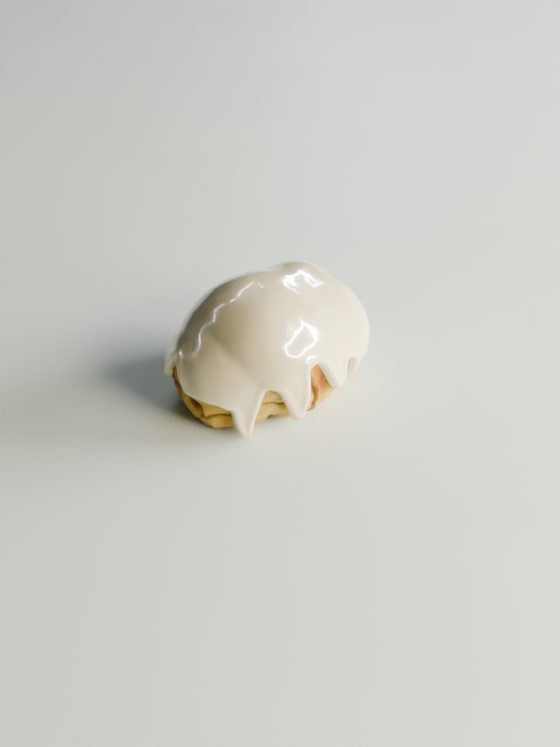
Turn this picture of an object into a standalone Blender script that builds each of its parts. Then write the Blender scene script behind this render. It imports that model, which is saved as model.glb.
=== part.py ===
"""Salt bread roll under poured icing: two solids, the baked dough and its skin of icing.

Run with "blender --background --python part.py", or from the text editor.
Metres, +Z up.  The origin is on the table under the middle of the roll, whose
long axis runs along X.  Azimuths are in degrees, from +X towards +Y, and polar
angles in radians, from straight up, both seen from the middle of the dough.
"""

from typing import NamedTuple

import bmesh
import bpy
import numpy as np


class Swelling(NamedTuple):
    """One rounded bulge of the rolled dough: its middle and its half-lengths."""

    centre: tuple
    half: tuple


class Fold(NamedTuple):
    """A crease where one turn of dough ends on the next, along (azimuth, height) corners."""

    corners: tuple
    depth: float
    width: float
    step: float


class Drip(NamedTuple):
    """A tongue of icing: half-widths 10 mm above its tip, and how squarely each side falls."""

    azimuth: float
    tip: float
    left: float
    left_power: float
    right: float
    right_power: float


COLLECTION = "salt_bread_roll"

# Dough
MIDDLE = (-0.00020, 0.00120, 0.0170)
SWELLINGS = (
    Swelling(centre=(0.00059, 0.00000, 0.0206), half=(0.0366, 0.0381, 0.0308)),
    Swelling(centre=(-0.02312, 0.00010, 0.0150), half=(0.0235, 0.0264, 0.0188)),
    Swelling(centre=(0.02843, 0.00336, 0.0289), half=(0.0171, 0.0313, 0.0180)),
    Swelling(centre=(-0.03028, -0.01241, 0.0046), half=(0.0110, 0.0075, 0.0071)),
)
SWELLING_POWER = 2.19
SWELLING_BLEND = 0.0031
VALLEY = 0.0011
VALLEY_WIDTH = 0.0033
VALLEY_OFF = -0.0056
VALLEY_END = 0.0100
VALLEY_FADE = 0.0200
DENT_MIDDLE = (0.04330, 0.00580, 0.0440)
DENT_RADIUS = 0.0080
DENT = 0.0018
SOLE_BLEND = 0.0012
SOLE_SNAP = 0.0001
SOLE_FROM = 124.0
SOLE_FADE = 7.0
LONGEST_REACH = 0.075

# Folds: the first six are on the side with the long crease, the rest on the other sides
FOLD_ARC = 0.00068
FOLD_REACH = 0.0042
FOLDS = (
    Fold(((-161, 0.0065), (-156, 0.0089), (-150, 0.0110), (-142, 0.0123), (-124.2, 0.0164),
          (-117.5, 0.0163), (-107.2, 0.0158), (-97, 0.0180)),
         depth=0.0011, width=0.0013, step=0.0009),
    Fold(((-92.5, 0.0300), (-89.7, 0.0230), (-88, 0.0196), (-86, 0.0145), (-84.5, 0.0080),
          (-85.5, 0.0)), depth=0.0012, width=0.0013, step=0.0008),
    Fold(((-170, 0.0180), (-166.5, 0.0148), (-163.4, 0.0135), (-160.5, 0.0095)),
         depth=0.0018, width=0.0017, step=0.0005),
    Fold(((175, 0.0140), (-177.5, 0.0070), (-167, 0.0035), (-156, 0.0020)),
         depth=0.0008, width=0.0014, step=0.0),
    Fold(((-117.5, 0.0), (-117, 0.0045)), depth=0.0020, width=0.0028, step=0.0),
    Fold(((-72.5, 0.0090), (-52, 0.0132), (-40, 0.0175), (-24, 0.0170)),
         depth=0.0010, width=0.0014, step=0.0007),
    Fold(((-20, 0.0215), (-8, 0.0120), (6, 0.0085), (21, 0.0130), (25, 0.0230)),
         depth=0.0014, width=0.0015, step=0.0006),
    Fold(((-6, 0.0200), (5, 0.0160), (14, 0.0210)), depth=0.0012, width=0.0014, step=0.0004),
    Fold(((36, 0.0210), (52, 0.0165), (70, 0.0130), (88, 0.0150)),
         depth=0.0011, width=0.0014, step=0.0008),
    Fold(((90, 0.0260), (96, 0.0180), (99, 0.0090), (96, 0.0)),
         depth=0.0013, width=0.0014, step=0.0008),
    Fold(((104, 0.0120), (121, 0.0150), (138, 0.0125), (152, 0.0160), (160, 0.0240)),
         depth=0.0011, width=0.0014, step=0.0008),
    Fold(((165.5, 0.0195), (172.8, 0.0152), (-179, 0.0162), (-173.5, 0.0209)),
         depth=0.0012, width=0.0014, step=0.0004),
)

# Icing
ICING_GAP = 0.0003
HIDDEN_GAP = 0.0012
HIDDEN_FROM_EDGE = 0.0080
FILM_ON_TOP = 0.0026
FILM_GROWTH = 0.0005
FILM_GROWS_BELOW = 0.048
FILM_GROWS_OVER = 0.030
EDGE_ROUND = 0.0023
BEAD = 0.0006
BEAD_FROM_EDGE = 0.0026
BEAD_WIDTH = 0.0018
TOE = 0.0063
TOE_BELOW = 0.0120
TOE_OVER = 0.0105
TOE_FROM_EDGE = 0.0026
DRIP_RISE = 0.010
DRIP_BLEND = 0.0022
DRIPS = (
    Drip(-138.3, 0.0008, 3.8, 5.0, 10.6, 2.2),
    Drip(-98.0, 0.0068, 6.5, 4.0, 6.0, 4.5),
    Drip(-66.7, 0.0140, 11.0, 1.9, 6.9, 3.2),
    Drip(-51.9, 0.0110, 1.8, 4.0, 8.0, 1.4),
    Drip(-37.5, 0.0185, 5.5, 3.0, 8.0, 2.4),
    Drip(-20.0, 0.0060, 7.5, 2.6, 8.0, 2.4),
    Drip(10.0, 0.0030, 8.0, 2.6, 7.5, 2.6),
    Drip(40.0, 0.0090, 7.0, 2.4, 7.0, 2.4),
    Drip(74.0, 0.0015, 7.0, 2.8, 8.5, 2.2),
    Drip(112.0, 0.0080, 8.0, 2.2, 7.0, 2.6),
    Drip(160.0, 0.0118, 9.0, 2.4, 10.0, 3.5),
)
# Height of the icing's edge without its drips, as (azimuth, height): high in the arches
SKIRT = (
    (-176, 0.0205), (-169, 0.0172), (-159, 0.0174), (-150, 0.0173), (-143.5, 0.0156),
    (-132, 0.0205), (-123.5, 0.0230), (-118, 0.0252), (-113.7, 0.0238), (-109.5, 0.0178),
    (-105.3, 0.0108), (-101.5, 0.0066), (-98, 0.0240), (-93, 0.0300), (-85.5, 0.0322),
    (-76, 0.0296), (-56.8, 0.0265), (-42, 0.0228), (-28, 0.0250), (-20, 0.0190),
    (-6, 0.0265), (10, 0.0185), (26, 0.0245), (40, 0.0190), (57, 0.0285),
    (74, 0.0200), (92, 0.0265), (112, 0.0185), (131, 0.0255), (146, 0.0210),
    (153, 0.0215), (169.5, 0.0268),
)

# Meshes
BREAD_COLUMNS = 80
BREAD_ROWS = ((0.0, 70.0, 7), (70.0, 122.0, 20), (122.0, 180.0, 5))
ICING_COLUMNS = 204
ICING_SHOULDER = 62.0
OUTER_SHOULDER_ROWS = 8
OUTER_SKIRT_ROWS = 11
INNER_SHOULDER_ROWS = 6
INNER_SKIRT_ROWS = 6
HALVE_COLUMNS_ABOVE = (58.0, 32.0)
EDGE_CROWDING = 1.6
INNER_CROWDING = 1.2
RIM_SHARE = 0.75
BISECTIONS = 30
WELD = 1e-6

CRUST_COLOUR = (0.72, 0.42, 0.13, 1.0)
ICING_COLOUR = (0.84, 0.79, 0.68, 1.0)


def smooth(value):
    """Ease from 0 to 1 with a level start and end."""
    value = np.clip(value, 0.0, 1.0)
    return value * value * (3.0 - 2.0 * value)


def turn(degrees):
    """The same angle between -180 and 180."""
    return (degrees + 180.0) % 360.0 - 180.0


def unit(vectors):
    """Vectors scaled to length 1."""
    return vectors / np.linalg.norm(vectors, axis=-1, keepdims=True)


def soft_least(values, blend):
    """The least of several surfaces, with the corners where they meet filled in."""
    least = values.min(axis=0)
    return least - blend * np.log(np.exp((least - values) / blend).sum(axis=0))


def outside(points):
    """Roughly how far points lie outside the dough: negative within, 0 on its face.

    A valley is pressed in between the first two swellings, on one side, and a dent is
    left in the tall end.
    """
    bulges = []
    for swelling in SWELLINGS:
        half = np.array(swelling.half)
        scaled = np.abs((points - np.array(swelling.centre)) / half) ** SWELLING_POWER
        bulges.append((scaled.sum(axis=-1) ** (1.0 / SWELLING_POWER) - 1.0) * half.min())
    across = (bulges[0] - bulges[1] - VALLEY_OFF) / VALLEY_WIDTH
    front = smooth((VALLEY_END - points[..., 1]) / VALLEY_FADE)
    away = np.linalg.norm(points - np.array(DENT_MIDDLE), axis=-1) / DENT_RADIUS
    body = soft_least(np.stack(bulges), SWELLING_BLEND)
    body = body + VALLEY * np.exp(-across ** 2) * front + DENT * np.exp(-away ** 2)
    return -soft_least(np.stack([-body, points[..., 2]]), SOLE_BLEND)


def direction(azimuth, polar):
    """Unit vectors for an azimuth in degrees and a polar angle in radians."""
    around = np.radians(azimuth)
    parts = (np.cos(around) * np.sin(polar), np.sin(around) * np.sin(polar), np.cos(polar))
    return np.stack(np.broadcast_arrays(*parts), axis=-1)


def dough_point(azimuth, polar):
    """Where a ray from the middle of the dough leaves it, by halving the interval."""
    ray = direction(azimuth, polar)
    near = np.zeros(ray.shape[:-1])
    far = np.full(ray.shape[:-1], LONGEST_REACH)
    for _ in range(BISECTIONS):
        half = (near + far) / 2.0
        inside = outside(MIDDLE + ray * half[..., None]) < 0.0
        near = np.where(inside, half, near)
        far = np.where(inside, far, half)
    return MIDDLE + ray * far[..., None]


def dough_normal(points, reach=5e-5):
    """Outward normals of the dough, from differences along each axis."""
    steps = np.eye(3) * reach
    slopes = [outside(points + step) - outside(points - step) for step in steps]
    return unit(np.stack(slopes, axis=-1))


def fold_relief(azimuth, height):
    """How far the folds sink the crust: a groove along each, and a step back beside it."""
    relief = np.zeros(np.broadcast(azimuth, height).shape)
    for fold in FOLDS:
        nearest = np.full(relief.shape, np.inf)
        side = np.zeros(relief.shape)
        for (az_a, z_a), (az_b, z_b) in zip(fold.corners, fold.corners[1:]):
            run = turn(az_b - az_a) * FOLD_ARC
            rise = z_b - z_a
            along = turn(azimuth - az_a) * FOLD_ARC
            up = height - z_a
            share = np.clip((along * run + up * rise) / (run * run + rise * rise), 0.0, 1.0)
            distance = np.hypot(along - share * run, up - share * rise)
            across = (along * rise - up * run) / np.hypot(run, rise)
            side = np.where(distance < nearest, across, side)
            nearest = np.minimum(nearest, distance)
        groove = fold.depth * np.exp(-(nearest / fold.width) ** 2)
        below = smooth(side / fold.width) * np.exp(-nearest / FOLD_REACH)
        relief = np.maximum(relief, groove + fold.step * below)
    return relief


def skirt_height(azimuth):
    """Height of the icing's edge between drips, by a cubic that never overshoots."""
    stops = np.array(SKIRT)
    turned = [stops + (360.0 * times, 0.0) for times in (-1, 0, 1)]
    place, height = np.vstack(turned).T
    span = np.diff(place)
    slope = np.diff(height) / span
    before, after = slope[:-1], slope[1:]
    same = before * after > 0.0
    level = np.where(same, 2.0 * before * after / np.where(same, before + after, 1.0), 0.0)
    level = np.concatenate([[0.0], level, [0.0]])
    azimuth = turn(azimuth)
    index = np.searchsorted(place, azimuth) - 1
    share = (azimuth - place[index]) / span[index]
    eased = smooth(share)
    lift = share * (1.0 - share) * span[index]
    value = height[index] * (1.0 - eased) + height[index + 1] * eased
    return value + lift * ((1.0 - share) * level[index] - share * level[index + 1])


def edge_height(azimuth):
    """Height of the icing's edge: the lower of the skirt and every drip, joined softly."""
    reach = skirt_height(azimuth)
    edges = [reach]
    for drip in DRIPS:
        off = turn(azimuth - drip.azimuth)
        width = np.where(off < 0.0, drip.left, drip.right)
        power = np.where(off < 0.0, drip.left_power, drip.right_power)
        tongue = drip.tip + DRIP_RISE * (np.abs(off) / width) ** power
        edges.append(np.minimum(tongue, 2.0 * reach))
    return soft_least(np.stack(edges), DRIP_BLEND)


def polar_at(azimuth, height):
    """Polar angle at which the dough's face has a given height."""
    low = np.full(azimuth.shape, 0.3)
    high = np.full(azimuth.shape, 2.75)
    for _ in range(BISECTIONS):
        half = (low + high) / 2.0
        above = dough_point(azimuth, half)[..., 2] > height
        low = np.where(above, half, low)
        high = np.where(above, high, half)
    return (low + high) / 2.0


def icing_azimuths(count):
    """Azimuths of the icing's columns, spaced mostly by the length of its edge."""
    fine = np.linspace(-180.0, 180.0, 2881)
    edge = dough_point(fine, polar_at(fine, edge_height(fine)))
    length = np.concatenate([[0.0], np.cumsum(np.linalg.norm(np.diff(edge, axis=0), axis=1))])
    progress = RIM_SHARE * length / length[-1] + (1.0 - RIM_SHARE) * (fine + 180.0) / 360.0
    return np.interp(np.arange(count) / count, progress, fine)


def icing_rows(rim, shoulder_rows, skirt_rows, crowding):
    """Polar angles of one side of the icing, [row, column], from the crown to the edge."""
    shoulder = np.radians(ICING_SHOULDER)
    upper = np.linspace(0.0, shoulder, shoulder_rows + 1)[1:-1]
    share = 1.0 - (1.0 - np.linspace(0.0, 1.0, skirt_rows + 1)) ** crowding
    lower = shoulder + (rim - shoulder) * share[:, None]
    return np.vstack([np.repeat(upper[:, None], rim.size, axis=1), lower])


def from_edge(points, edge):
    """Distance of each point from the nearest point of the icing's edge."""
    away = np.full(points.shape[:2], np.inf)
    for shift in range(edge.shape[0]):
        gap = np.linalg.norm(points - np.roll(edge, shift, axis=0), axis=-1)
        away = np.minimum(away, gap)
    return away


def icing_thickness(height, away):
    """Thickness of the icing: a film with a rounded, beaded edge, fuller at the drips' ends."""
    film = FILM_ON_TOP + FILM_GROWTH * np.clip((FILM_GROWS_BELOW - height) / FILM_GROWS_OVER, 0, 1)
    bead = BEAD * np.exp(-((away - BEAD_FROM_EDGE) / BEAD_WIDTH) ** 2)
    rounding = np.sqrt(1.0 - (1.0 - np.clip(away / EDGE_ROUND, 0.0, 1.0)) ** 2)
    toe = TOE * smooth((TOE_BELOW - height) / TOE_OVER)
    return rounding * (film + bead) + toe * np.clip(away / TOE_FROM_EDGE, 0.0, 1.0) ** 0.8


def wrap_sphere(name, rows, top, bottom, halvings=()):
    """A UV sphere moved onto rows of points, given from the top to the bottom.

    Each of halvings is a set of rows in which neighbouring columns close up in pairs.
    """
    count, columns = rows.shape[:2]
    rows = rows.copy()
    column = np.arange(columns)
    for level, closing in enumerate(halvings, start=1):
        rows[closing] = rows[closing][:, column - column % 2 ** level]
    shape = bmesh.new()
    bmesh.ops.create_uvsphere(shape, u_segments=columns, v_segments=count + 1, radius=1.0)
    for vert in shape.verts:
        place = round(np.arccos(np.clip(vert.co.z, -1.0, 1.0)) * (count + 1) / np.pi)
        around = round(np.arctan2(vert.co.y, vert.co.x) * columns / (2.0 * np.pi)) % columns
        if place == 0:
            vert.co = top
        elif place == count + 1:
            vert.co = bottom
        else:
            vert.co = rows[place - 1, around]
    bmesh.ops.remove_doubles(shape, verts=shape.verts, dist=WELD)
    bmesh.ops.triangulate(shape, faces=shape.faces, quad_method="SHORT_EDGE")
    mesh = bpy.data.meshes.new(name)
    shape.to_mesh(mesh)
    shape.free()
    mesh.shade_smooth()
    return mesh


def bread_mesh():
    """The dough: close rows in the band that shows under the icing, and a flat sole."""
    bands = [np.linspace(start, end, rows + 1)[1:] for start, end, rows in BREAD_ROWS]
    polar = np.radians(np.concatenate(bands))[:-1, None]
    azimuth = np.arange(BREAD_COLUMNS)[None] * 360.0 / BREAD_COLUMNS
    points = dough_point(azimuth, polar)
    relief = fold_relief(azimuth, points[..., 2])
    relief = relief * smooth((np.radians(SOLE_FROM) - polar) / np.radians(SOLE_FADE))
    points = points - direction(azimuth, polar) * relief[..., None]
    points[..., 2] = np.where(points[..., 2] < SOLE_SNAP, 0.0, points[..., 2])
    crown = dough_point(np.zeros(1), np.zeros(1))[0]
    return wrap_sphere("bread", points, crown, (MIDDLE[0], MIDDLE[1], 0.0))


def icing_mesh():
    """The icing: an outer face from crown to edge, and an inner one back over the dough."""
    azimuth = icing_azimuths(ICING_COLUMNS)
    rim = polar_at(azimuth, edge_height(azimuth))
    outer_polar = icing_rows(rim, OUTER_SHOULDER_ROWS, OUTER_SKIRT_ROWS, EDGE_CROWDING)
    inner_polar = icing_rows(rim, INNER_SHOULDER_ROWS, INNER_SKIRT_ROWS, INNER_CROWDING)[-2::-1]
    outer = dough_point(azimuth, outer_polar)
    inner = dough_point(azimuth, inner_polar)
    thickness = icing_thickness(outer[..., 2], from_edge(outer, outer[-1]))
    hidden = smooth(from_edge(inner, outer[-1]) / HIDDEN_FROM_EDGE)
    clearance = ICING_GAP + (HIDDEN_GAP - ICING_GAP) * hidden
    outward = dough_normal(outer)
    sideways = unit(np.maximum(outward, (-1.0, -1.0, 0.0)))
    outer = outer + outward * ICING_GAP + sideways * thickness[..., None]
    inner = inner + dough_normal(inner) * clearance[..., None]
    crown = dough_point(np.zeros(1), np.zeros(1))[0]
    polar = np.vstack([outer_polar, inner_polar])
    crowding = [np.all(polar < np.radians(limit), axis=1) for limit in HALVE_COLUMNS_ABOVE]
    top = crown + (0.0, 0.0, ICING_GAP + FILM_ON_TOP)
    under = crown + (0.0, 0.0, HIDDEN_GAP)
    return wrap_sphere("icing", np.vstack([outer, inner]), top, under, crowding)


def finish(name, colour, roughness, coat):
    """A Principled material with one colour, a roughness and a clear coat."""
    material = bpy.data.materials.new(name)
    material.use_nodes = True
    shader = material.node_tree.nodes["Principled BSDF"]
    shader.inputs["Base Color"].default_value = colour
    shader.inputs["Roughness"].default_value = roughness
    shader.inputs["Metallic"].default_value = 0.0
    shader.inputs["Coat Weight"].default_value = coat
    return material


def add_piece(collection, mesh, material):
    """Put a mesh into the collection as an object of the same name."""
    mesh.materials.append(material)
    piece = bpy.data.objects.new(mesh.name, mesh)
    collection.objects.link(piece)


def main():
    """Build both pieces in an empty scene."""
    for old in list(bpy.data.objects):
        bpy.data.objects.remove(old)
    collection = bpy.data.collections.new(COLLECTION)
    bpy.context.scene.collection.children.link(collection)
    add_piece(collection, bread_mesh(), finish("baked_crust", CRUST_COLOUR, 0.6, 0.0))
    add_piece(collection, icing_mesh(), finish("poured_icing", ICING_COLOUR, 0.18, 0.5))


main()
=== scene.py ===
"""Looks of a salt bread roll under poured icing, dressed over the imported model.

Two pieces are made, each a grid surface laid over the same rolled dough: the
baked crust with its folds, and the icing with its beaded edge and drips.
Lengths are in metres, azimuths in degrees from +X towards +Y, and polar angles
in radians from straight up, both seen from the middle of the dough.
"""

from __future__ import annotations

import logging
import math
from dataclasses import dataclass
from enum import Enum

import bpy
import numpy as np
from mathutils import Matrix, Vector

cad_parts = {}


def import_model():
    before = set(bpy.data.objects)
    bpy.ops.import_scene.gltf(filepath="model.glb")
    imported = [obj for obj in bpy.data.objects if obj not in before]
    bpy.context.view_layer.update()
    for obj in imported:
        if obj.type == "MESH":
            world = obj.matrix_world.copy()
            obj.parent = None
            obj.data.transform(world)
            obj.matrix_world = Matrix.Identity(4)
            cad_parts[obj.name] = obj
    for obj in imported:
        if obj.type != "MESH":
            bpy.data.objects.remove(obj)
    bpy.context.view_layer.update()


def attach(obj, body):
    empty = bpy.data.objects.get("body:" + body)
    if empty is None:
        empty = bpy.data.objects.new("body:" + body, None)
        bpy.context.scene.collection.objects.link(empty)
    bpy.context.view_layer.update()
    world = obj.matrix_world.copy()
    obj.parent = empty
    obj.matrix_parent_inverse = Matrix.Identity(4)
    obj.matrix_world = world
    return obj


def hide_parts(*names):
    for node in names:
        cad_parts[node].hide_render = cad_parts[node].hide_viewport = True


LOG = logging.getLogger("salt_bread_roll")
BISECTIONS = 26
LEAST_SQUARE = 1e-9

Array = np.ndarray
Point = tuple[float, float, float]
Colour = tuple[float, float, float, float]
Span = tuple[float, float]
Stops = tuple[tuple[float, Colour], ...]
Socket = bpy.types.NodeSocket
Constant = float | Point | Colour
Input = Socket | Constant | None


class Spot(Enum):
    """What a patch of crust shows, and how far it moves the bake there."""

    BUTTERED = 0.34
    # Browner crust: real browning in some spots, painted shade in others.
    BROWNED_AND_SHADED = 0.50
    PALE = -0.34


# ---------------- small sums


def smooth(value: Array) -> Array:
    """Ease from 0 to 1 with a level start and end: 3v^2 - 2v^3 of the clipped value."""
    value = np.clip(value, 0.0, 1.0)
    return value * value * (3.0 - 2.0 * value)


def bell(value: Array) -> Array:
    """A bell curve, exp(-v^2)."""
    return np.exp(-value * value)


def turn(degrees: Array) -> Array:
    """The same angle between -180 and 180."""
    return (degrees + 180.0) % 360.0 - 180.0


def unit(vectors: Array) -> Array:
    """Vectors scaled to length 1."""
    return vectors / np.linalg.norm(vectors, axis=-1, keepdims=True)


def soft_least(values: Array, blend: float) -> Array:
    """The least of several surfaces, with the corners where they meet filled in.

    Formula: least - blend * log(sum(exp((least - value) / blend))).

    Args:
        values: the surfaces, stacked on the first axis.
        blend: how far from a corner the filling reaches.

    Returns:
        One surface, nowhere above the least of the inputs.
    """
    least = values.min(axis=0)
    return least - blend * np.log(np.exp((least - values) / blend).sum(axis=0))


@dataclass(frozen=True)
class Ripple:
    """Smooth unevenness of about a given size: plane waves in seeded directions."""

    size: float
    wavelength: float
    seed: int
    waves: int = 20

    def at(self, points: Array) -> Array:
        """Read it.

        Formula: size * sqrt(2 / waves) * sum(sin(point . heading * pitch + phase)), in
        which each wave's own length is 0.7 to 1.4 times the wavelength.

        Args:
            points: where to read it.

        Returns:
            One value for each point.
        """
        draw = np.random.default_rng(self.seed)
        heading = unit(draw.normal(size=(self.waves, 3)))
        pitch = 2.0 * math.pi / (self.wavelength * draw.uniform(0.7, 1.4, self.waves))
        phase = draw.uniform(0.0, 2.0 * math.pi, self.waves)
        value = np.zeros(points.shape[:-1])
        for way, pace, start in zip(heading, pitch, phase):
            value += np.sin(points @ way * pace + start)
        return self.size * (value * math.sqrt(2.0 / self.waves))


# ---------------- the dough


@dataclass(frozen=True)
class Swelling:
    """One rounded bulge of the rolled dough: its middle and its half-lengths."""

    centre: Point
    half: Point


@dataclass(frozen=True)
class Dough:
    """The smooth form that the crust and the icing share."""

    middle: Point = (-0.00020, 0.00120, 0.0170)
    swellings: tuple[Swelling, ...] = (
        Swelling(centre=(0.00059, 0.00000, 0.0206), half=(0.0366, 0.0381, 0.0308)),
        Swelling(centre=(-0.02312, 0.00010, 0.0150), half=(0.0235, 0.0264, 0.0188)),
        Swelling(centre=(0.02843, 0.00336, 0.0289), half=(0.0171, 0.0313, 0.0180)),
        Swelling(centre=(-0.03028, -0.01241, 0.0046), half=(0.0110, 0.0075, 0.0071)),
    )
    power: float = 2.19
    blend: float = 0.0031
    valley: float = 0.0011
    valley_width: float = 0.0033
    valley_off: float = -0.0056
    valley_end: float = 0.0100
    valley_fade: float = 0.0200
    dent_middle: Point = (0.04330, 0.00580, 0.0440)
    dent_radius: float = 0.0080
    dent: float = 0.0018
    sole_blend: float = 0.0012
    reach: float = 0.075
    polar_low: float = 0.3
    polar_high: float = 2.75

    def outside(self, points: Array) -> Array:
        """Roughly how far points lie outside the dough, negative within.

        Each swelling is a superellipsoid, (|x/a|^p + |y/b|^p + |z/c|^p)^(1/p) = 1.
        They are joined softly, and cut off softly at the sole, z = 0.  Where the first
        two are about equally near, a valley is pressed in between the turns, of depth
        valley * exp(-((difference - valley off) / valley width)^2), which fades towards
        the back.  A dent, dent * exp(-(distance / radius)^2), is left in the far end.

        Args:
            points: where to read it.

        Returns:
            One value for each point, 0 on the dough's face.
        """
        bulges = []
        for swelling in self.swellings:
            half = np.array(swelling.half)
            scaled = np.abs((points - np.array(swelling.centre)) / half) ** self.power
            bulges.append((scaled.sum(axis=-1) ** (1.0 / self.power) - 1.0) * half.min())
        across = (bulges[0] - bulges[1] - self.valley_off) / self.valley_width
        front = smooth((self.valley_end - points[..., 1]) / self.valley_fade)
        away = np.linalg.norm(points - np.array(self.dent_middle), axis=-1)
        body = soft_least(np.stack(bulges), self.blend) + self.valley * bell(across) * front
        body = body + self.dent * bell(away / self.dent_radius)
        return -soft_least(np.stack([-body, points[..., 2]]), self.sole_blend)

    @staticmethod
    def direction(azimuth: Array, polar: Array) -> Array:
        """Unit vectors for an azimuth in degrees and a polar angle in radians."""
        around = np.radians(azimuth)
        flat = np.sin(polar)
        parts = (np.cos(around) * flat, np.sin(around) * flat, np.cos(polar))
        return np.stack(np.broadcast_arrays(*parts), axis=-1)

    def point(self, azimuth: Array, polar: Array) -> Array:
        """Where rays from the middle leave the dough, by halving an interval.

        Args:
            azimuth: of each ray, in degrees.
            polar: of each ray, in radians.

        Returns:
            Points on the dough's face.
        """
        ray = self.direction(azimuth, polar)
        near = np.zeros(ray.shape[:-1])
        far = np.full(ray.shape[:-1], self.reach)
        for _ in range(BISECTIONS):
            half = (near + far) / 2.0
            inside = self.outside(self.middle + ray * half[..., None]) < 0.0
            near = np.where(inside, half, near)
            far = np.where(inside, far, half)
        return self.middle + ray * far[..., None]

    def normal(self, points: Array, step: float = 5e-5) -> Array:
        """Outward unit normals, from differences of outside() along each axis."""
        steps = np.eye(3) * step
        slopes = [self.outside(points + way) - self.outside(points - way) for way in steps]
        return unit(np.stack(slopes, axis=-1))

    def polar_at(self, azimuth: Array, height: Array) -> Array:
        """Polar angle at which the dough's face has a given height, by halving.

        Args:
            azimuth: where round the dough, in degrees.
            height: the height wanted at each azimuth.

        Returns:
            One polar angle for each azimuth, in radians.
        """
        low = np.full(azimuth.shape, self.polar_low)
        high = np.full(azimuth.shape, self.polar_high)
        for _ in range(BISECTIONS):
            half = (low + high) / 2.0
            above = self.point(azimuth, half)[..., 2] > height
            low = np.where(above, half, low)
            high = np.where(above, high, half)
        return (low + high) / 2.0


# ---------------- meshes


@dataclass
class GridSurface:
    """A closed surface of rows that run round the object, from its top to its bottom."""

    rows: Array
    top: Array
    bottom: Array
    pairing: Array

    def triangles(self) -> Array:
        """Triangles over the grid, each quad cut along its shorter diagonal.

        Vertex (row, column) has the number row * columns + column.  In a row whose
        pairing is 2, 4 or 8, column numbers are rounded down to a multiple of it, so
        that neighbours share a vertex, and triangles without area are dropped.

        Returns:
            Vertex numbers, three for each triangle, counter-clockwise from outside.
        """
        count, columns = self.rows.shape[:2]
        column = np.arange(columns)
        number = np.arange(count)[:, None] * columns + column - column % self.pairing[:, None]
        a, b = number[:-1], np.roll(number[:-1], -1, axis=1)
        d, c = number[1:], np.roll(number[1:], -1, axis=1)
        flat = self.rows.reshape(-1, 3)
        falling = np.linalg.norm(flat[a] - flat[c], axis=-1)
        rising = np.linalg.norm(flat[b] - flat[d], axis=-1)
        keep = (falling <= rising)[..., None]
        first = np.where(keep, np.stack([a, d, c], -1), np.stack([a, d, b], -1))
        second = np.where(keep, np.stack([a, c, b], -1), np.stack([d, c, b], -1))
        pole = np.full(columns, count * columns)
        start, end = number[0], number[-1]
        cap = np.stack([pole, start, np.roll(start, -1)], -1)
        base = np.stack([pole + 1, np.roll(end, -1), end], -1)
        every = np.concatenate([cap, first.reshape(-1, 3), second.reshape(-1, 3), base])
        same = (every == np.roll(every, 1, axis=1)).any(axis=1)
        return every[~same]

    def mesh(self, name: str, marks: dict[str, Array]) -> bpy.types.Mesh:
        """Make the mesh, smooth shaded, with a value of each mark at every vertex.

        Args:
            name: of the mesh.
            marks: attribute name to a value for each grid point, [row, column].

        Returns:
            The new mesh.
        """
        points = np.vstack([self.rows.reshape(-1, 3), self.top, self.bottom])
        used, corners = np.unique(self.triangles(), return_inverse=True)
        mesh = bpy.data.meshes.new(name)
        mesh.from_pydata(points[used].tolist(), [], corners.reshape(-1, 3).tolist())
        for mark, values in marks.items():
            ends = [values[0].mean(), values[-1].mean()]
            spread = np.concatenate([values.reshape(-1), ends])[used]
            attribute = mesh.attributes.new(mark, "FLOAT", "POINT")
            attribute.data.foreach_set("value", spread.astype(np.float32))
        mesh.shade_smooth()
        return mesh


def add_piece(name: str, mesh: bpy.types.Mesh, material: bpy.types.Material) -> bpy.types.Object:
    """Put a mesh into the scene as an object at the origin, in one material.

    Args:
        name: of the object.
        mesh: its shape, in world coordinates.
        material: its only one.

    Returns:
        The new object.
    """
    mesh.materials.append(material)
    piece = bpy.data.objects.new(name, mesh)
    bpy.context.scene.collection.objects.link(piece)
    return piece


# ---------------- finishes


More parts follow.
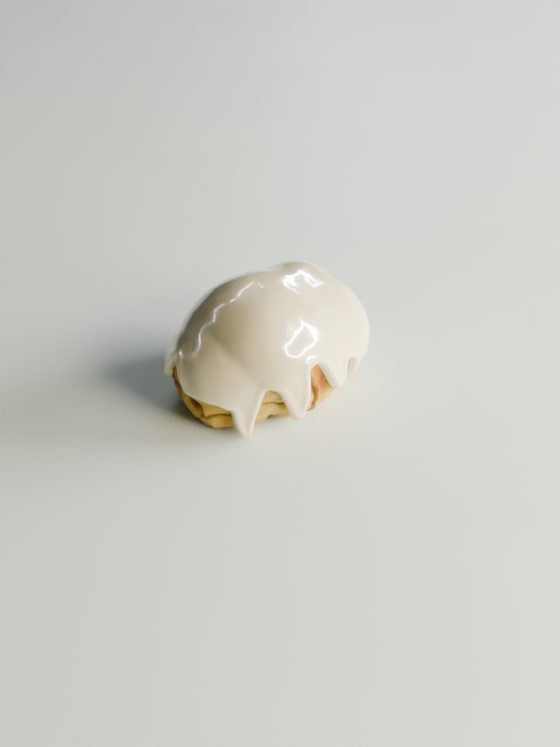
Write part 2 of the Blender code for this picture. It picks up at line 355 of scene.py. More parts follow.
class NodeSheet:
    """A new material and short calls to lay out its nodes."""

    def __init__(self, name: str) -> None:
        """Start a material that holds only its output and a Principled shader."""
        self.material = bpy.data.materials.new(name)
        self.material.use_nodes = True
        self.tree = self.material.node_tree
        self.shader = self.tree.nodes["Principled BSDF"]
        self.place = self.add("ShaderNodeTexCoord").outputs["Object"]

    def add(self, kind: str, **settings: object) -> bpy.types.Node:
        """Add a node of a kind and set its properties."""
        node = self.tree.nodes.new(kind)
        for key, value in settings.items():
            setattr(node, key, value)
        return node

    def link(self, source: Socket, target: Socket) -> None:
        """Join an output to an input."""
        self.tree.links.new(source, target)

    def feed(self, value: Input, socket: Socket) -> None:
        """Give an input another node's output or a constant; None leaves it alone."""
        if isinstance(value, Socket):
            self.link(value, socket)
        elif value is not None:
            socket.default_value = value

    def set(self, **values: Constant) -> None:
        """Set constants on the shader, with _ for each space in a socket's name."""
        for key, value in values.items():
            self.shader.inputs[key.replace("_", " ")].default_value = value

    def mark(self, name: str) -> Socket:
        """Read a value that the mesh carries at its vertices."""
        return self.add("ShaderNodeAttribute", attribute_name=name).outputs["Fac"]

    def noise(self, size: float, detail: float) -> Socket:
        """Lay out fractal noise over the object.

        Args:
            size: of its largest grains, in metres.
            detail: how many finer layers are added.

        Returns:
            The noise, from 0 to 1 around one half.
        """
        mapping = self.add("ShaderNodeMapping")
        mapping.inputs["Scale"].default_value = [1.0 / size] * 3
        self.link(self.place, mapping.inputs["Vector"])
        node = self.add("ShaderNodeTexNoise")
        node.inputs["Scale"].default_value = 1.0
        node.inputs["Detail"].default_value = detail
        self.link(mapping.outputs["Vector"], node.inputs["Vector"])
        return node.outputs["Fac"]

    def cells(self, size: float) -> Socket:
        """Distance from the nearest of scattered points about size apart, in cells."""
        node = self.add("ShaderNodeTexVoronoi")
        node.inputs["Scale"].default_value = 1.0 / size
        node.inputs["Randomness"].default_value = 1.0
        self.link(self.place, node.inputs["Vector"])
        return node.outputs["Distance"]

    def sum(self, how: str, first: Input, second: Input, third: Input = None) -> Socket:
        """Lay out one step of arithmetic.

        Args:
            how: the operation, by Blender's name for it.
            first: a socket or a number.
            second: a socket or a number.
            third: a socket or a number, where the operation takes one.

        Returns:
            The result.
        """
        node = self.add("ShaderNodeMath", operation=how)
        for socket, value in zip(node.inputs, (first, second, third)):
            self.feed(value, socket)
        return node.outputs["Value"]

    def span(self, value: Socket, low: float, high: float, to: Span = (0.0, 1.0)) -> Socket:
        """Carry a value from one range to another, held at its ends.

        Args:
            value: what to carry over.
            low: start of its own range.
            high: end of its own range.
            to: start and end of the new range.

        Returns:
            The value in the new range.
        """
        node = self.add("ShaderNodeMapRange")
        node.inputs["From Min"].default_value = low
        node.inputs["From Max"].default_value = high
        node.inputs["To Min"].default_value = to[0]
        node.inputs["To Max"].default_value = to[1]
        self.link(value, node.inputs["Value"])
        return node.outputs["Result"]

    def ramp(self, value: Socket, stops: Stops) -> Socket:
        """Turn a value into a colour.

        Args:
            value: from 0 to 1.
            stops: places from 0 to 1, each with its colour, in order.

        Returns:
            The colour between the two stops beside the value.
        """
        node = self.add("ShaderNodeValToRGB")
        band = node.color_ramp
        for place, colour in stops[1:-1]:
            band.elements.new(place).color = colour
        for end in (0, -1):
            band.elements[end].position, band.elements[end].color = stops[end]
        self.link(value, node.inputs["Fac"])
        return node.outputs["Color"]

    def mix(self, share: Socket, base: Input, over: Input) -> Socket:
        """Lay one colour over another.

        Args:
            share: how much of the upper one shows, from 0 to 1.
            base: the lower colour.
            over: the upper colour.

        Returns:
            The mixed colour.
        """
        node = self.add("ShaderNodeMix", data_type="RGBA")
        self.link(share, node.inputs["Factor"])
        for key, value in (("A", base), ("B", over)):
            socket = next(s for s in node.inputs if s.name == key and s.type == "RGBA")
            self.feed(value, socket)
        return next(s for s in node.outputs if s.type == "RGBA")

    def bump(self, height: Socket, depth: float, under: Input = None) -> Socket:
        """Turn a height into a normal.

        Args:
            height: from 0 to 1.
            depth: how deep the relief is, in metres.
            under: the normal of a relief that lies below this one.

        Returns:
            The normal.
        """
        node = self.add("ShaderNodeBump")
        node.inputs["Strength"].default_value = 1.0
        node.inputs["Distance"].default_value = depth
        self.link(height, node.inputs["Height"])
        self.feed(under, node.inputs["Normal"])
        return node.outputs["Normal"]


@dataclass(frozen=True)
class CrustFinish:
    """Baked dough: pale to brown by its bake, with painted shade darkening the creases, and a buttery
    sheen.
    """

    pale: Colour = (0.62, 0.45, 0.10, 1.0)
    straw: Colour = (0.53, 0.34, 0.042, 1.0)
    golden: Colour = (0.46, 0.19, 0.0, 1.0)
    brown: Colour = (0.20, 0.07, 0.005, 1.0)
    # crease: the dark colour of the painted shade laid into the folds
    crease: Colour = (0.13, 0.06, 0.005, 1.0)
    straw_at: float = 0.38
    golden_at: float = 0.72
    blotch_size: float = 0.0035
    blotch_share: float = 0.26
    grain_size: float = 0.0007
    grain_share: float = 0.16
    grain_depth: float = 0.00022
    pore_size: float = 0.0011
    pore_radius: float = 0.35
    pore_depth: float = 0.00006
    sheen: Span = (0.34, 0.52)

    def material(self) -> bpy.types.Material:
        """Lay out the crust's nodes."""
        sheet = NodeSheet("baked_crust")
        blotch = sheet.noise(self.blotch_size, detail=5.0)
        grain = sheet.noise(self.grain_size, detail=4.0)
        bake_and_shade = sheet.sum("MULTIPLY_ADD", blotch, self.blotch_share, sheet.mark("bake_and_shade"))
        bake_and_shade = sheet.sum("MULTIPLY_ADD", grain, self.grain_share, bake_and_shade)
        bake_and_shade = sheet.sum("SUBTRACT", bake_and_shade, (self.blotch_share + self.grain_share) / 2.0)
        middle = ((self.straw_at, self.straw), (self.golden_at, self.golden))
        colour = sheet.ramp(bake_and_shade, ((0.0, self.pale), *middle, (1.0, self.brown)))
        # Painted shade: the crease mark mixes the dark crease colour in and beside the folds.
        colour = sheet.mix(sheet.mark("crease"), colour, self.crease)
        sheet.link(colour, sheet.shader.inputs["Base Color"])
        sheet.link(sheet.span(blotch, 0.3, 0.7, self.sheen), sheet.shader.inputs["Roughness"])
        pores = sheet.span(sheet.cells(self.pore_size), 0.0, self.pore_radius)
        normal = sheet.bump(pores, self.pore_depth)
        normal = sheet.bump(grain, self.grain_depth, normal)
        sheet.link(normal, sheet.shader.inputs["Normal"])
        sheet.set(Subsurface_Weight=0.06, Subsurface_Scale=0.0012, Subsurface_Radius=(1.0, 0.55, 0.2))
        sheet.set(IOR=1.45, Specular_IOR_Level=0.2, Coat_Weight=0.03, Coat_Roughness=0.25)
        return sheet.material


@dataclass(frozen=True)
class IcingFinish:
    """Poured icing: warm ivory, glossy, warmer and clearer where the film is thin."""

    thick: Colour = (0.90, 0.80, 0.52, 1.0)
    thin: Colour = (0.86, 0.60, 0.26, 1.0)
    cool: Colour = (0.89, 0.82, 0.58, 1.0)
    clear_below: float = 0.0016
    cloud_size: float = 0.022
    swirl_size: float = 0.0045
    swirl_depth: float = 0.00002
    pit_spacing: float = 0.0036
    pit_radius: float = 0.085
    pit_depth: float = 0.00003

    def material(self) -> bpy.types.Material:
        """Lay out the icing's nodes."""
        sheet = NodeSheet("poured_icing")
        cloud = sheet.noise(self.cloud_size, detail=2.0)
        colour = sheet.mix(sheet.span(cloud, 0.4, 0.62), self.thick, self.cool)
        clear = sheet.span(sheet.mark("film"), 0.0, self.clear_below, (1.0, 0.0))
        colour = sheet.mix(clear, colour, self.thin)
        sheet.link(colour, sheet.shader.inputs["Base Color"])
        swirl = sheet.noise(self.swirl_size, detail=2.0)
        pits = sheet.span(sheet.cells(self.pit_spacing), 0.0, self.pit_radius)
        normal = sheet.bump(pits, self.pit_depth)
        normal = sheet.bump(swirl, self.swirl_depth, normal)
        sheet.link(normal, sheet.shader.inputs["Normal"])
        sheet.set(Roughness=0.2, IOR=1.46, Coat_Weight=1.0, Coat_Roughness=0.035, Coat_IOR=1.5)
        sheet.set(Subsurface_Weight=0.35, Subsurface_Scale=0.003, Subsurface_Radius=(1.0, 0.72, 0.42))
        return sheet.material


@dataclass(frozen=True)
class FloorFinish:
    """The pale, even floor."""

    pale: Colour = (0.70, 0.79, 0.81, 1.0)
    paler: Colour = (0.73, 0.82, 0.84, 1.0)
    cloud_size: float = 0.08

    def material(self) -> bpy.types.Material:
        """Lay out the floor's nodes."""
        sheet = NodeSheet("pale_floor")
        cloud = sheet.noise(self.cloud_size, detail=2.0)
        colour = sheet.mix(sheet.span(cloud, 0.35, 0.65), self.pale, self.paler)
        sheet.link(colour, sheet.shader.inputs["Base Color"])
        sheet.set(Roughness=0.5)
        return sheet.material


# ---------------- the crust


@dataclass(frozen=True)
class Fold:
    """A crease where one turn of dough ends on the next, along (azimuth, height) corners."""

    corners: tuple[tuple[float, float], ...]
    depth: float
    width: float
    step: float


@dataclass(frozen=True)
class BakeSpot:
    """A patch of crust that baked differently: where it is, and how far it spreads."""

    azimuth: float
    height: float
    spread: float
    kind: Spot


@dataclass
class Crust:
    """The baked dough, from its hidden crown to its flat sole."""

    dough: Dough
    arc: float = 0.00068
    columns: int = 600
    bands: tuple[tuple[float, float, int], ...] = (
        (0.0, 66.0, 15),
        (66.0, 123.0, 148),
        (123.0, 180.0, 18),
    )
    coarse: Span = (60.0, 128.0)
    coarser: Span = (24.0, 160.0)
    sink: float = 0.00035
    sole_from: float = 124.0
    sole_fade: float = 7.0
    sole_snap: float = 0.0001
    sway_around: Ripple = Ripple(1.1, 0.009, seed=11)
    sway_up: Ripple = Ripple(0.0005, 0.006, seed=5)
    waves: Ripple = Ripple(0.00012, 0.005, seed=2)
    crumples: Ripple = Ripple(0.00005, 0.0018, seed=4)
    fold_reach: float = 0.0042
    full_step: float = 0.0005
    lip: float = 0.00035
    lip_off: float = 2.0
    lip_width: float = 1.6
    leaf_depth: float = 0.00013
    leaf_pitch: float = 0.0013
    # Painted shade of the creases: its spread, the fold depth that gets it in full, and its share in
    # the crease mark.
    shade_spread: float = 1.5
    full_shade_depth: float = 0.0013
    painted_shade_share: float = 0.75
    blisters: int = 300
    blister_heights: Span = (0.003, 0.030)
    blister_radii: Span = (0.0004, 0.0010)
    blister_rise: float = 0.22
    cluster: int = 26
    cluster_azimuth: Span = (-120.5, 3.0)
    cluster_height: Span = (0.0215, 0.002)
    bake_low: float = 0.24
    bake_rise: float = 0.14
    bake_rise_from: float = 0.006
    bake_rise_over: float = 0.018
    bake_wander: Ripple = Ripple(0.05, 0.013, seed=3)
    # Painted shade: how far the folds' shade browns the crust.
    fold_shade_browning: float = 0.15
    bake_of_sole: float = 0.72
    bake_ends: Span = (0.05, 0.95)
    sole_below: float = 0.0004
    folds: tuple[Fold, ...] = (
        Fold(((-161, 0.0065), (-156, 0.0089), (-150, 0.0110), (-142, 0.0123), (-124.2, 0.0164),
              (-117.5, 0.0163), (-107.2, 0.0158), (-97, 0.0180)),
             depth=0.0013, width=0.0008, step=0.0010),
        Fold(((-92.5, 0.0300), (-89.7, 0.0230), (-88, 0.0196), (-86, 0.0145), (-84.5, 0.0080),
              (-85.5, 0.0)),
             depth=0.0013, width=0.0008, step=0.0008),
        Fold(((-170, 0.0180), (-166.5, 0.0148), (-163.4, 0.0135), (-160.5, 0.0095)),
             depth=0.0022, width=0.0015, step=0.0006),
        Fold(((175, 0.0140), (-177.5, 0.0070), (-167, 0.0035), (-156, 0.0020)),
             depth=0.0009, width=0.0009, step=0.0002),
        Fold(((-117.5, 0.0), (-117, 0.0045)), depth=0.0020, width=0.0028, step=0.0),
        Fold(((-72.5, 0.0090), (-52, 0.0132), (-40, 0.0175), (-24, 0.0170)),
             depth=0.0012, width=0.0009, step=0.0008),
        Fold(((-20, 0.0215), (-8, 0.0120), (6, 0.0085), (21, 0.0130), (25, 0.0230)),
             depth=0.0016, width=0.0010, step=0.0007),
        Fold(((-6, 0.0200), (5, 0.0160), (14, 0.0210)), depth=0.0014, width=0.0010, step=0.0005),
        Fold(((36, 0.0210), (52, 0.0165), (70, 0.0130), (88, 0.0150)),
             depth=0.0013, width=0.0009, step=0.0009),
        Fold(((90, 0.0260), (96, 0.0180), (99, 0.0090), (96, 0.0)),
             depth=0.0014, width=0.0009, step=0.0008),
        Fold(((104, 0.0120), (121, 0.0150), (138, 0.0125), (152, 0.0160), (160, 0.0240)),
             depth=0.0013, width=0.0009, step=0.0009),
        Fold(((165.5, 0.0195), (172.8, 0.0152), (-179, 0.0162), (-173.5, 0.0209)),
             depth=0.0014, width=0.0010, step=0.0005),
    )
    spots: tuple[BakeSpot, ...] = (
        BakeSpot(-107, 0.0138, 0.0035, Spot.BUTTERED),
        BakeSpot(-145, 0.0090, 0.0030, Spot.BUTTERED),
        BakeSpot(-77, 0.0265, 0.0090, Spot.BUTTERED),
        BakeSpot(-79, 0.0220, 0.0075, Spot.BUTTERED),
        BakeSpot(-57, 0.0190, 0.0040, Spot.BROWNED_AND_SHADED),
        # Painted shade: the next two spots darken the shaded near end and its deep crevice.
        BakeSpot(175, 0.0155, 0.0060, Spot.BROWNED_AND_SHADED),
        BakeSpot(-164.5, 0.0120, 0.0030, Spot.BROWNED_AND_SHADED),
        BakeSpot(-120, 0.0100, 0.0040, Spot.PALE),
        BakeSpot(-113.5, 0.0225, 0.0045, Spot.PALE),
        BakeSpot(-90, 0.0150, 0.0025, Spot.PALE),
        BakeSpot(-162, 0.0030, 0.0050, Spot.PALE),
        BakeSpot(45, 0.0230, 0.0080, Spot.BUTTERED),
        BakeSpot(118, 0.0230, 0.0080, Spot.BUTTERED),
        BakeSpot(0, 0.0190, 0.0060, Spot.BROWNED_AND_SHADED),
    )

    def creases(self, azimuth: Array, height: Array) -> tuple[Array, Array]:
        """Find the folds: how far they sink the crust, and their painted shade.

        Distance to a fold is the least over its straight runs, each the length from
        the point to its nearest place on the run.  A fold sinks the crust by
        depth * exp(-(distance / width)^2), sets the dough on its lower side back by a
        step that eases away, raises a soft lip on its upper side, and scores the
        lower side with thin leaves side by side.

        Args:
            azimuth: of each point, in degrees.
            height: of each point.

        Returns:
            The relief, inwards, and the painted shade of the creases from 0 to 1.
        """
        shape = np.broadcast(azimuth, height).shape
        relief = np.zeros(shape)
        shade = np.zeros(shape)
        for fold in self.folds:
            nearest = np.full(shape, np.inf)
            side = np.zeros(shape)
            for (az_a, z_a), (az_b, z_b) in zip(fold.corners, fold.corners[1:]):
                run = turn(az_b - az_a) * self.arc
                rise = z_b - z_a
                along = turn(azimuth - az_a) * self.arc
                up = height - z_a
                share = np.clip((along * run + up * rise) / (run * run + rise * rise), 0.0, 1.0)
                distance = np.hypot(along - share * run, up - share * rise)
                across = (along * rise - up * run) / math.hypot(run, rise)
                side = np.where(distance < nearest, across, side)
                nearest = np.minimum(nearest, distance)
            groove = bell(nearest / fold.width)
            fade = np.exp(-nearest / self.fold_reach)
            below = smooth(side / fold.width) * fade * min(1.0, fold.step / self.full_step)
            leaves = 0.5 - 0.5 * np.cos(2.0 * math.pi * nearest / self.leaf_pitch)
            crest = bell((nearest - self.lip_off * fold.width) / (self.lip_width * fold.width))
            lip = self.lip * smooth(-side / fold.width) * crest
            sunk = fold.depth * groove + fold.step * below + self.leaf_depth * leaves * below - lip
            relief = np.where(np.abs(sunk) > np.abs(relief), sunk, relief)
            # Painted shade: a dark band along each fold, weaker for shallow folds.
            painted_shade = bell(nearest / (self.shade_spread * fold.width))
            shade = np.maximum(shade, painted_shade * min(1.0, fold.depth / self.full_shade_depth))
        return relief, shade

    def blister(self, azimuth: Array, height: Array) -> Array:
        """Small raised bubbles: bell-shaped bumps at seeded places, closer in one cluster.

        Args:
            azimuth: of each point, in degrees.
            height: of each point.

        Returns:
            How far each point is raised.
        """
        draw = np.random.default_rng(seed=7)
        spread = draw.uniform(-180, 180, self.blisters)
        around = np.concatenate([spread, draw.normal(*self.cluster_azimuth, self.cluster)])
        spread = draw.uniform(*self.blister_heights, self.blisters)
        up = np.concatenate([spread, draw.normal(*self.cluster_height, self.cluster)])
        radius = draw.uniform(*self.blister_radii, around.size)
        raised = np.zeros(np.broadcast(azimuth, height).shape)
        for az, z, size in zip(around, up, radius):
            away = np.hypot(turn(azimuth - az) * self.arc, height - z)
            raised = np.maximum(raised, self.blister_rise * size * bell(away / size))
        return raised

    def bake_and_shade(self, azimuth: Array, points: Array, shade: Array) -> Array:
        """How far the crust is baked: 0 is pale dough, 1 is brown.

        It rises with height, wanders by a seeded ripple, and is moved by the named spots, two of them
        painted shade, and by the painted shade of the folds.  The sole has one even value.

        Args:
            azimuth: of each point, in degrees.
            points: on the crust.
            shade: the painted shade of the creases at each point, which browns the crust there.

        Returns:
            One value for each point.
        """
        height = points[..., 2]
        up = smooth((height - self.bake_rise_from) / self.bake_rise_over)
        value = self.bake_low + self.bake_rise * up
        value = value + self.bake_wander.at(points)
        for spot in self.spots:
            away = np.hypot(turn(azimuth - spot.azimuth) * self.arc, height - spot.height)
            value = value + spot.kind.value * bell(away / spot.spread)
        # Painted shade: the crust is browned in and beside the folds.
        value = value + self.fold_shade_browning * shade
        value = np.where(height < self.sole_below, self.bake_of_sole, value)
        return np.clip(value, *self.bake_ends)

    def pairing(self, polar: Array) -> Array:
        """How many columns share a vertex in each row: more of them towards both poles.

        Args:
            polar: angle of each row, in radians.

        Returns:
            1, 4 or 8 for each row.
        """
        count = np.ones(polar.shape, dtype=int)
        for (low, high), shared in ((self.coarse, 4), (self.coarser, 8)):
            beyond = (polar < math.radians(low)) | (polar > math.radians(high))
            count = np.where(beyond, shared, count)
        return count

    def build(self) -> bpy.types.Object:
        """Make the crust.

        Returns:
            One closed piece, with its bake and its creases marked at every vertex.
        """
        steps = [np.linspace(start, end, rows + 1)[1:] for start, end, rows in self.bands]
        polar = np.radians(np.concatenate(steps))[:-1, None]
        azimuth = np.arange(self.columns)[None] * 360.0 / self.columns
        points = self.dough.point(azimuth, polar)
        height = points[..., 2]
        swayed = (azimuth + self.sway_around.at(points), height + self.sway_up.at(points))
        relief, shade = self.creases(*swayed)
        uneven = self.waves.at(points) + self.crumples.at(points)
        fade = smooth((math.radians(self.sole_from) - polar) / math.radians(self.sole_fade))
        inwards = (relief + self.sink + uneven - self.blister(azimuth, height)) * fade
        points = points - Dough.direction(azimuth, polar) * inwards[..., None]
        points[..., 2] = np.where(points[..., 2] < self.sole_snap, 0.0, points[..., 2])
        crown = self.dough.point(np.zeros(1), np.zeros(1))[0] - (0.0, 0.0, self.sink)
        foot = np.array((self.dough.middle[0], self.dough.middle[1], 0.0))
        surface = GridSurface(points, crown, foot, self.pairing(polar[:, 0]))
        # The crease mark carries the painted shade of the folds into the crust's colour.
        marks = {"bake_and_shade": self.bake_and_shade(azimuth, points, shade), "crease": self.painted_shade_share * shade}
        return add_piece("crust", surface.mesh("crust", marks), CrustFinish().material())


# ---------------- the icing


@dataclass(frozen=True)
class Drip:
    """A tongue of icing: half-widths at drip_rise above its tip, in degrees, and side powers."""

    azimuth: float
    tip: float
    left: float
    left_power: float
    right: float
    right_power: float


@dataclass
class Icing:
    """The skin of icing: film, beaded edge, arches and drips with full toes."""

    dough: Dough
    columns: int = 900
    shoulder: float = 62.0
    shoulder_rows: int = 24
    skirt_rows: int = 62
    under_rows: int = 10
    crowding: float = 1.5
    rim_share: float = 0.75
    rim_samples: int = 2881
    shared: tuple[tuple[float, int], ...] = ((9.0, 8), (22.0, 4), (48.0, 2))
    under_shared_to: float = 70.0
    under_shared: int = 4
    tuck: float = 0.0007
    tuck_over: float = 0.001
    film_on_top: float = 0.0028
    film_growth: float = 0.0005
    film_grows_below: float = 0.048
    film_grows_over: float = 0.030
    edge_round: float = 0.0023
    bead: float = 0.0006
    bead_from_edge: float = 0.0026
    bead_width: float = 0.0018
    toe: float = 0.0062
    toe_below: float = 0.0120
    toe_over: float = 0.0105
    toe_from_edge: float = 0.0024
    swells: Ripple = Ripple(0.00012, 0.022, seed=21)
    flow_lines: Ripple = Ripple(0.00004, 0.008, seed=22)
    swell_room: float = 0.0002
    drip_rise: float = 0.010
    drip_blend: float = 0.0022
    drips: tuple[Drip, ...] = (
        Drip(-138.3, 0.0008, 3.8, 5.0, 10.6, 2.2),
        Drip(-98.0, 0.0068, 6.5, 4.0, 6.0, 4.5),
        Drip(-66.7, 0.0140, 11.0, 1.9, 6.9, 3.2),
        Drip(-51.9, 0.0110, 1.8, 4.0, 8.0, 1.4),
        Drip(-37.5, 0.0185, 5.5, 3.0, 8.0, 2.4),
        Drip(-20.0, 0.0060, 7.5, 2.6, 8.0, 2.4),
        Drip(10.0, 0.0030, 8.0, 2.6, 7.5, 2.6),
        Drip(40.0, 0.0090, 7.0, 2.4, 7.0, 2.4),
        Drip(74.0, 0.0015, 7.0, 2.8, 8.5, 2.2),
        Drip(112.0, 0.0080, 8.0, 2.2, 7.0, 2.6),
        Drip(160.0, 0.0118, 9.0, 2.4, 10.0, 3.5),
    )
    skirt: tuple[tuple[float, float], ...] = (
        (-176, 0.0205), (-169, 0.0172), (-159, 0.0174), (-150, 0.0173), (-143.5, 0.0156),
        (-132, 0.0205), (-123.5, 0.0230), (-118, 0.0252), (-113.7, 0.0238), (-109.5, 0.0178),
        (-105.3, 0.0108), (-101.5, 0.0066), (-98, 0.0240), (-93, 0.0300), (-85.5, 0.0322),
        (-76, 0.0296), (-56.8, 0.0265), (-42, 0.0228), (-28, 0.0250), (-20, 0.0190),
        (-6, 0.0265), (10, 0.0185), (26, 0.0245), (40, 0.0190), (57, 0.0285),
        (74, 0.0200), (92, 0.0265), (112, 0.0185), (131, 0.0255), (146, 0.0210),
        (153, 0.0215), (169.5, 0.0268),
    )

    def skirt_height(self, azimuth: Array) -> Array:
        """Height of the edge without its drips, by a cubic that never overshoots.

        The slope at each named point is the harmonic mean of the slopes beside it, or
        level where they differ in sign.

        Args:
            azimuth: where round the roll, in degrees.

        Returns:
            One height for each azimuth.
        """
        stops = np.array(self.skirt)
        turned = [stops + (360.0 * times, 0.0) for times in (-1, 0, 1)]
        place, height = np.vstack(turned).T
        span = np.diff(place)
        slope = np.diff(height) / span
        before, after = slope[:-1], slope[1:]
        same = before * after > 0.0
        level = np.where(same, 2.0 * before * after / np.where(same, before + after, 1.0), 0.0)
        level = np.concatenate([[0.0], level, [0.0]])
        azimuth = turn(azimuth)
        index = np.searchsorted(place, azimuth) - 1
        share = (azimuth - place[index]) / span[index]
        eased = smooth(share)
        lift = share * (1.0 - share) * span[index]
        value = height[index] * (1.0 - eased) + height[index + 1] * eased
        return value + lift * ((1.0 - share) * level[index] - share * level[index + 1])

    def edge_height(self, azimuth: Array) -> Array:
        """Height of the edge: the lower of the skirt and every drip, joined softly.

        A drip's side rises as tip + rise * (|azimuth - its own| / half-width)^power.

        Args:
            azimuth: where round the roll, in degrees.

        Returns:
            One height for each azimuth.
        """
        reach = self.skirt_height(azimuth)
        edges = [reach]
        for drip in self.drips:
            off = turn(azimuth - drip.azimuth)
            width = np.where(off < 0.0, drip.left, drip.right)
            power = np.where(off < 0.0, drip.left_power, drip.right_power)
            tongue = drip.tip + self.drip_rise * (np.abs(off) / width) ** power
            edges.append(np.minimum(tongue, 2.0 * reach))
        return soft_least(np.stack(edges), self.drip_blend)

    def azimuths(self) -> Array:
        """Azimuths of the columns, spaced mostly by the length of the edge."""
        fine = np.linspace(-180.0, 180.0, self.rim_samples)
        edge = self.dough.point(fine, self.dough.polar_at(fine, self.edge_height(fine)))
        length = np.concatenate([[0.0], np.cumsum(np.linalg.norm(np.diff(edge, axis=0), axis=1))])
        even = (fine + 180.0) / 360.0
        progress = self.rim_share * length / length[-1] + (1.0 - self.rim_share) * even
        return np.interp(np.arange(self.columns) / self.columns, progress, fine)

    def polar_rows(self, rim: Array, shoulder_rows: int, skirt_rows: int) -> Array:
        """Lay out rows from the crown to the edge, closer together near the edge.

        Args:
            rim: polar angle of the edge in each column.
            shoulder_rows: how many steps lead down to the shoulder.
            skirt_rows: how many steps lead on to the edge.

        Returns:
            Polar angles in radians, [row, column].
        """
        shoulder = math.radians(self.shoulder)
        upper = np.linspace(0.0, shoulder, shoulder_rows + 1)[1:-1]
        share = 1.0 - (1.0 - np.linspace(0.0, 1.0, skirt_rows + 1)) ** self.crowding
        lower = shoulder + (rim - shoulder) * share[:, None]
        return np.vstack([np.repeat(upper[:, None], rim.size, axis=1), lower])

    def from_edge(self, points: Array, edge: Array, power: int = 8) -> Array:
        """Distance from the edge line, rounded where two stretches are equally near.

        Formula: (sum of piece length / distance^power / scale)^(1 / (1 - power)), in
        which scale makes it exact beside a straight edge, and a least square keeps the
        sum finite on the line itself.

        Args:
            points: where to measure, [row, column].
            edge: the points of the closed edge line.
            power: how sharply the nearest stretch counts.

        Returns:
            One distance for each point.
        """
        length = np.linalg.norm(np.roll(edge, -1, axis=0) - np.roll(edge, 1, axis=0), axis=1) / 2.0
        scale = math.sqrt(math.pi) * math.gamma((power - 1) / 2) / math.gamma(power / 2)
        total = np.zeros(points.shape[:2])
        near = np.full(points.shape[:2], np.inf)
        for place, piece in zip(edge, length):
            square = ((points - place) ** 2).sum(axis=-1)
            near = np.minimum(near, square)
            total += piece / (square + LEAST_SQUARE) ** (power / 2)
        distance = (total / scale) ** (1.0 / (1 - power))
        return np.minimum(distance, np.sqrt(near))

    def thickness(self, points: Array, away: Array) -> Array:
        """Thickness of the icing: film, bead and toe, rounded off to nothing at the edge.

        Rounding is a quarter circle, sqrt(1 - (1 - distance / radius)^2).

        Args:
            points: on the dough under the icing.
            away: how far each is from the edge line.

        Returns:
            One thickness for each point.
        """
        height = points[..., 2]
        growth = np.clip((self.film_grows_below - height) / self.film_grows_over, 0.0, 1.0)
        film = self.film_on_top + self.film_growth * growth
        bead = self.bead * bell((away - self.bead_from_edge) / self.bead_width)
        rounding = np.sqrt(1.0 - (1.0 - np.clip(away / self.edge_round, 0.0, 1.0)) ** 2)
        fullness = np.sqrt(1.0 - (1.0 - np.clip(away / self.toe_from_edge, 0.0, 1.0)) ** 2)
        toe = self.toe * smooth((self.toe_below - height) / self.toe_over) * fullness
        flow = self.swells.at(points) + self.flow_lines.at(points)
        return rounding * (film + bead + flow - self.swell_room) + toe

    def build(self) -> bpy.types.Object:
        """Make the icing, its edge tucked just into the crust.

        Returns:
            One closed piece, with the film's thickness marked at every vertex.
        """
        azimuth = self.azimuths()
        rim = self.dough.polar_at(azimuth, self.edge_height(azimuth))
        outer_polar = self.polar_rows(rim, self.shoulder_rows, self.skirt_rows)
        inner_polar = self.polar_rows(rim, self.under_rows, self.under_rows)[-2::-1]
        outer = self.dough.point(azimuth, outer_polar)
        inner = self.dough.point(azimuth, inner_polar)
        away = self.from_edge(outer, outer[-1])
        thickness = self.thickness(outer, away)
        outward = self.dough.normal(outer)
        sideways = unit(np.maximum(outward, (-1.0, -1.0, 0.0)))
        lift = thickness + self.tuck * np.minimum(away / self.tuck_over, 1.0)
        outer = outer - outward * self.tuck + sideways * lift[..., None]
        inner = inner - self.dough.normal(inner) * self.tuck
        crown = self.dough.point(np.zeros(1), np.zeros(1))[0]
        polar = np.vstack([outer_polar, inner_polar])
        highest = np.degrees(polar.max(axis=1))
        limits, shares = zip(*self.shared)
        pairing = np.select([highest < limit for limit in limits], shares, 1)
        under = slice(len(outer), None)
        pairing[under] = np.where(highest[under] < self.under_shared_to, self.under_shared, 1)
        rows = np.vstack([outer, inner])
        top = crown + (0.0, 0.0, self.film_on_top)
        surface = GridSurface(rows, top, crown - (0.0, 0.0, self.tuck), pairing)
        film = np.vstack([thickness, np.full(inner.shape[:2], self.film_on_top)])
        mesh = surface.mesh("icing_skin", {"film": film})
        return add_piece("icing_skin", mesh, IcingFinish().material())


# ---------------- the studio


class Light(Enum):
    """What a lamp gives: even light on everything, or only its mirror image in gloss."""

    EVEN = "even"
    GLINT = "glint"


@dataclass(frozen=True)
class Lamp:
    """A rectangular light: where it stands, its two sides, its long side's way, power and colour."""

    name: str
    place: Point
    sides: tuple[float, float]
    along: Point
    power: float
    colour: Point
    light: Light = Light.EVEN

    def build(self, target: Vector) -> None:
        """Hang the light.

        Args:
            target: the point that it faces.
        """
        data = bpy.data.lights.new(self.name, "AREA")
        data.shape = "RECTANGLE"
        data.size, data.size_y = self.sides
        data.energy = self.power
        data.color = self.colour
        back = (Vector(self.place) - target).normalized()
        level = Vector(self.along)
        across = (level - back * level.dot(back)).normalized()
        pose = Matrix((across, back.cross(across), back)).transposed().to_4x4()
        pose.translation = self.place
        lamp = bpy.data.objects.new(self.name, data)
        lamp.matrix_world = pose
        lamp.visible_glossy = self.light is Light.GLINT
        lamp.visible_diffuse = self.light is Light.EVEN
        bpy.context.scene.collection.objects.link(lamp)


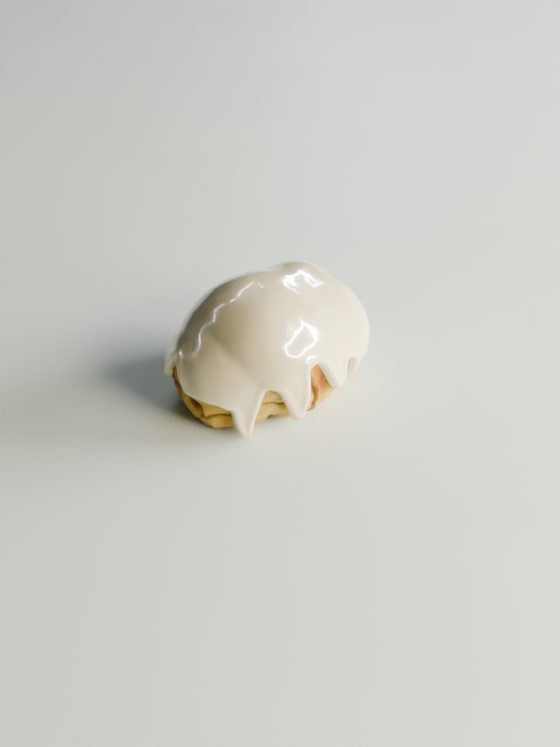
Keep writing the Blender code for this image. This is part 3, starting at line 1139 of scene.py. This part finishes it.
@dataclass(frozen=True)
class LampChain:
    """Strip lights end to end, through (azimuth, elevation) corners seen from the target."""

    name: str
    corners: tuple[tuple[float, float], ...]
    closed: bool
    distance: float
    width: float
    glow: float
    colour: Point

    def lamps(self, target: Vector) -> list[Lamp]:
        """Lay the strips, each with power for its own length, so that all are equally bright.

        Args:
            target: the point from which the corners are seen, and which the strips face.

        Returns:
            One lamp for each stretch between corners.
        """
        places = []
        for azimuth, elevation in self.corners:
            around, up = math.radians(azimuth), math.radians(elevation)
            way = (math.cos(around) * math.cos(up), math.sin(around) * math.cos(up), math.sin(up))
            places.append(target + self.distance * Vector(way))
        ends = places[1:] + places[:1] if self.closed else places[1:]
        strips = []
        for number, (start, end) in enumerate(zip(places, ends)):
            run = end - start
            sides = (run.length, self.width)
            power = self.glow * run.length * self.width
            middle = tuple((start + end) / 2.0)
            name = f"{self.name}_{number}"
            strips.append(Lamp(name, middle, sides, tuple(run), power, self.colour, Light.GLINT))
        return strips


@dataclass(frozen=True)
class Studio:
    """Pale floor, soft lamps, the strips that glint in the icing, and the camera."""

    target: Point = (0.0, 0.0, 0.035)
    floor_half: float = 2.5
    sky: Colour = (0.90, 0.92, 0.96, 1.0)
    sky_strength: float = 0.03
    eye: Point = (-0.22950, -0.36530, 0.3330)
    right: Point = (0.8387, -0.5446, 0.0)
    up: Point = (0.3293, 0.5071, 0.7965)
    roll: float = 0.7
    lens: float = 54.07
    lamps: tuple[Lamp, ...] = (
        Lamp("key", (1.10, -0.40, 0.285), (0.70, 0.60), (0.36, 0.94, 0.0), 70.0, (1.0, 0.98, 0.84)),
        Lamp("front", (0.33, -0.68, 0.33), (0.42, 0.50), (0.88, 0.47, 0.0), 15.0, (1.0, 0.86, 0.59)),
        Lamp("back", (0.61, 0.73, 0.585), (0.5, 0.5), (0.77, -0.64, 0.0), 3.0, (0.88, 0.97, 1.0)),
    )
    chains: tuple[LampChain, ...] = (
        LampChain("ring", ((-11, 61), (-27, 48), (-35, 36), (-50, 36), (-62, 35), (-71, 31), (-79, 31),
                           (-89, 42), (-81, 57), (-48, 63)),
                  closed=True, distance=0.8, width=0.032, glow=700.0, colour=(1.0, 0.99, 0.96)),
        LampChain("window", ((53, 12), (49, 22), (42, 30), (36.5, 34)),
                  closed=False, distance=0.9, width=0.016, glow=300.0, colour=(0.86, 0.97, 1.0)),
        LampChain("strip", ((134, 22), (127, 33), (110, 32), (82, 40), (64, 27)),
                  closed=False, distance=0.7, width=0.005, glow=230.0, colour=(1.0, 0.98, 0.92)),
    )

    def floor(self) -> None:
        """Lay a square floor at z = 0, which isn't part of the object."""
        side = self.floor_half
        corners = [(-side, -side, 0.0), (side, -side, 0.0), (side, side, 0.0), (-side, side, 0.0)]
        mesh = bpy.data.meshes.new("floor")
        mesh.from_pydata(corners, [], [(0, 1, 2, 3)])
        add_piece("floor", mesh, FloorFinish().material())

    def camera(self) -> None:
        """Set the camera from its eye, its right and up directions and a slight roll."""
        right, up = Vector(self.right), Vector(self.up)
        lean = math.radians(self.roll)
        across = (math.cos(lean) * right + math.sin(lean) * up).normalized()
        upright = (math.cos(lean) * up - math.sin(lean) * right).normalized()
        back = across.cross(upright)
        pose = Matrix((across, upright, back)).transposed().to_4x4()
        pose.translation = self.eye
        data = bpy.data.cameras.new("camera")
        data.lens = self.lens
        data.clip_start = 0.01
        camera = bpy.data.objects.new("camera", data)
        camera.matrix_world = pose
        bpy.context.scene.collection.objects.link(camera)
        bpy.context.scene.camera = camera

    def build(self) -> None:
        """Lay the floor, hang the lights, tint the sky and set the camera."""
        self.floor()
        target = Vector(self.target)
        strips = [lamp for chain in self.chains for lamp in chain.lamps(target)]
        for lamp in (*self.lamps, *strips):
            lamp.build(target)
        world = bpy.data.worlds.new("soft_sky")
        world.use_nodes = True
        sky = world.node_tree.nodes["Background"]
        sky.inputs["Color"].default_value = self.sky
        sky.inputs["Strength"].default_value = self.sky_strength
        bpy.context.scene.world = world
        self.camera()


# ---------------- all together


def main() -> None:
    """Load the frame, dress both nodes and set up the studio."""
    logging.basicConfig(level=logging.INFO, format="%(name)s: %(message)s")
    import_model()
    dough = Dough()
    for maker, node, slot in ((Crust(dough), "bread", "crust"), (Icing(dough), "icing", "icing")):
        piece = maker.build()
        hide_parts(node)
        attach(piece, "root")
        LOG.info("%s: %d triangles", piece.name, len(piece.data.polygons))
    Studio().build()


if __name__ == "__main__":
    main()
